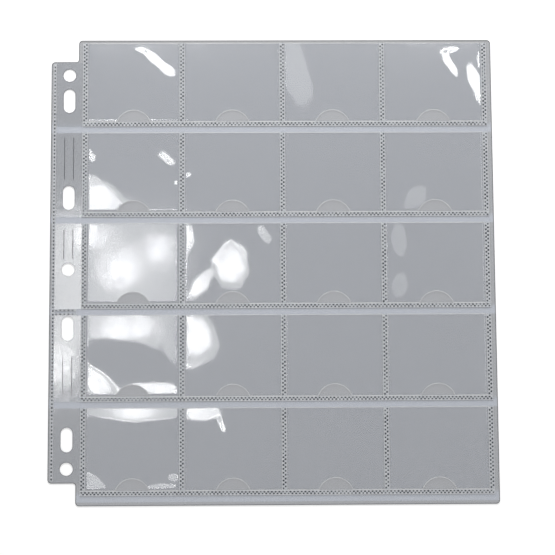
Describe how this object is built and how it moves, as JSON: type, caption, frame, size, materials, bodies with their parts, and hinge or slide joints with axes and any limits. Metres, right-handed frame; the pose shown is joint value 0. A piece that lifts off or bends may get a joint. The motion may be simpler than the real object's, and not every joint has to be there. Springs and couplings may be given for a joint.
{
  "type": "coin album page",
  "caption": "Clear film album page with a grid of open-topped welded pockets, half-moon thumb notches and a binder margin punched with round and slotted ring holes.",
  "frame": {"origin": "centre of the page outline, on the back face of the back film", "axes": "+X from the binder margin to the free edge, +Y towards the pocket mouths, +Z out of the pocket side"},
  "size_m": [0.243, 0.2554, 0.0008],
  "materials": {
    "film": "calendered soft PVC film",
    "weld": "knurled welded seam"
  },
  "bodies": {
    "binder_margin": {"margin_back": "film", "margin_edge_weld": "weld", "margin_cross_weld": "weld", "margin_front_1": "film", "margin_front_2": "film", "margin_front_3": "film", "margin_front_4": "film", "margin_front_5": "film"},
    "leaf": {"leaf_back": "film", "row_weld_1": "weld", "row_weld_2": "weld", "row_weld_3": "weld", "row_weld_4": "weld", "row_weld_5": "weld", "column_weld_0": "weld", "column_weld_1": "weld", "column_weld_2": "weld", "column_weld_3": "weld", "column_weld_4": "weld"},
    "pocket_r1c1": {"pocket_front_r1c1": "film"},
    "pocket_r1c2": {"pocket_front_r1c2": "film"},
    "pocket_r1c3": {"pocket_front_r1c3": "film"},
    "pocket_r1c4": {"pocket_front_r1c4": "film"},
    "pocket_r2c1": {"pocket_front_r2c1": "film"},
    "pocket_r2c2": {"pocket_front_r2c2": "film"},
    "pocket_r2c3": {"pocket_front_r2c3": "film"},
    "pocket_r2c4": {"pocket_front_r2c4": "film"},
    "pocket_r3c1": {"pocket_front_r3c1": "film"},
    "pocket_r3c2": {"pocket_front_r3c2": "film"},
    "pocket_r3c3": {"pocket_front_r3c3": "film"},
    "pocket_r3c4": {"pocket_front_r3c4": "film"},
    "pocket_r4c1": {"pocket_front_r4c1": "film"},
    "pocket_r4c2": {"pocket_front_r4c2": "film"},
    "pocket_r4c3": {"pocket_front_r4c3": "film"},
    "pocket_r4c4": {"pocket_front_r4c4": "film"},
    "pocket_r5c1": {"pocket_front_r5c1": "film"},
    "pocket_r5c2": {"pocket_front_r5c2": "film"},
    "pocket_r5c3": {"pocket_front_r5c3": "film"},
    "pocket_r5c4": {"pocket_front_r5c4": "film"}
  },
  "joints": [
    {"name": "leaf_turn", "type": "hinge", "parent": "binder_margin", "child": "leaf", "pos_m": [-0.1065, 0, 0.00013], "axis": [0, -1, 0], "range_deg": [0, 90]},
    {"name": "mouth_r1c1", "type": "hinge", "parent": "leaf", "child": "pocket_r1c1", "pos_m": [-0.07615, 0.0819, 0.00068], "axis": [1, 0, 0], "range_deg": [0, 8], "stiffness_Nm_per_rad": 0.001},
    {"name": "mouth_r1c2", "type": "hinge", "parent": "leaf", "child": "pocket_r1c2", "pos_m": [-0.0219, 0.0819, 0.00068], "axis": [1, 0, 0], "range_deg": [0, 8], "stiffness_Nm_per_rad": 0.001},
    {"name": "mouth_r1c3", "type": "hinge", "parent": "leaf", "child": "pocket_r1c3", "pos_m": [0.0333, 0.0819, 0.00068], "axis": [1, 0, 0], "range_deg": [0, 8], "stiffness_Nm_per_rad": 0.001},
    {"name": "mouth_r1c4", "type": "hinge", "parent": "leaf", "child": "pocket_r1c4", "pos_m": [0.0892, 0.0819, 0.00068], "axis": [1, 0, 0], "range_deg": [0, 8], "stiffness_Nm_per_rad": 0.001},
    {"name": "mouth_r2c1", "type": "hinge", "parent": "leaf", "child": "pocket_r2c1", "pos_m": [-0.07615, 0.0315, 0.00068], "axis": [1, 0, 0], "range_deg": [0, 8], "stiffness_Nm_per_rad": 0.001},
    {"name": "mouth_r2c2", "type": "hinge", "parent": "leaf", "child": "pocket_r2c2", "pos_m": [-0.0219, 0.0315, 0.00068], "axis": [1, 0, 0], "range_deg": [0, 8], "stiffness_Nm_per_rad": 0.001},
    {"name": "mouth_r2c3", "type": "hinge", "parent": "leaf", "child": "pocket_r2c3", "pos_m": [0.0333, 0.0315, 0.00068], "axis": [1, 0, 0], "range_deg": [0, 8], "stiffness_Nm_per_rad": 0.001},
    {"name": "mouth_r2c4", "type": "hinge", "parent": "leaf", "child": "pocket_r2c4", "pos_m": [0.0892, 0.0315, 0.00068], "axis": [1, 0, 0], "range_deg": [0, 8], "stiffness_Nm_per_rad": 0.001},
    {"name": "mouth_r3c1", "type": "hinge", "parent": "leaf", "child": "pocket_r3c1", "pos_m": [-0.07615, -0.0189, 0.00068], "axis": [1, 0, 0], "range_deg": [0, 8], "stiffness_Nm_per_rad": 0.001},
    {"name": "mouth_r3c2", "type": "hinge", "parent": "leaf", "child": "pocket_r3c2", "pos_m": [-0.0219, -0.0189, 0.00068], "axis": [1, 0, 0], "range_deg": [0, 8], "stiffness_Nm_per_rad": 0.001},
    {"name": "mouth_r3c3", "type": "hinge", "parent": "leaf", "child": "pocket_r3c3", "pos_m": [0.0333, -0.0189, 0.00068], "axis": [1, 0, 0], "range_deg": [0, 8], "stiffness_Nm_per_rad": 0.001},
    {"name": "mouth_r3c4", "type": "hinge", "parent": "leaf", "child": "pocket_r3c4", "pos_m": [0.0892, -0.0189, 0.00068], "axis": [1, 0, 0], "range_deg": [0, 8], "stiffness_Nm_per_rad": 0.001},
    {"name": "mouth_r4c1", "type": "hinge", "parent": "leaf", "child": "pocket_r4c1", "pos_m": [-0.07615, -0.0693, 0.00068], "axis": [1, 0, 0], "range_deg": [0, 8], "stiffness_Nm_per_rad": 0.001},
    {"name": "mouth_r4c2", "type": "hinge", "parent": "leaf", "child": "pocket_r4c2", "pos_m": [-0.0219, -0.0693, 0.00068], "axis": [1, 0, 0], "range_deg": [0, 8], "stiffness_Nm_per_rad": 0.001},
    {"name": "mouth_r4c3", "type": "hinge", "parent": "leaf", "child": "pocket_r4c3", "pos_m": [0.0333, -0.0693, 0.00068], "axis": [1, 0, 0], "range_deg": [0, 8], "stiffness_Nm_per_rad": 0.001},
    {"name": "mouth_r4c4", "type": "hinge", "parent": "leaf", "child": "pocket_r4c4", "pos_m": [0.0892, -0.0693, 0.00068], "axis": [1, 0, 0], "range_deg": [0, 8], "stiffness_Nm_per_rad": 0.001},
    {"name": "mouth_r5c1", "type": "hinge", "parent": "leaf", "child": "pocket_r5c1", "pos_m": [-0.07615, -0.1197, 0.00068], "axis": [1, 0, 0], "range_deg": [0, 8], "stiffness_Nm_per_rad": 0.001},
    {"name": "mouth_r5c2", "type": "hinge", "parent": "leaf", "child": "pocket_r5c2", "pos_m": [-0.0219, -0.1197, 0.00068], "axis": [1, 0, 0], "range_deg": [0, 8], "stiffness_Nm_per_rad": 0.001},
    {"name": "mouth_r5c3", "type": "hinge", "parent": "leaf", "child": "pocket_r5c3", "pos_m": [0.0333, -0.1197, 0.00068], "axis": [1, 0, 0], "range_deg": [0, 8], "stiffness_Nm_per_rad": 0.001},
    {"name": "mouth_r5c4", "type": "hinge", "parent": "leaf", "child": "pocket_r5c4", "pos_m": [0.0892, -0.1197, 0.00068], "axis": [1, 0, 0], "range_deg": [0, 8], "stiffness_Nm_per_rad": 0.001}
  ]
}
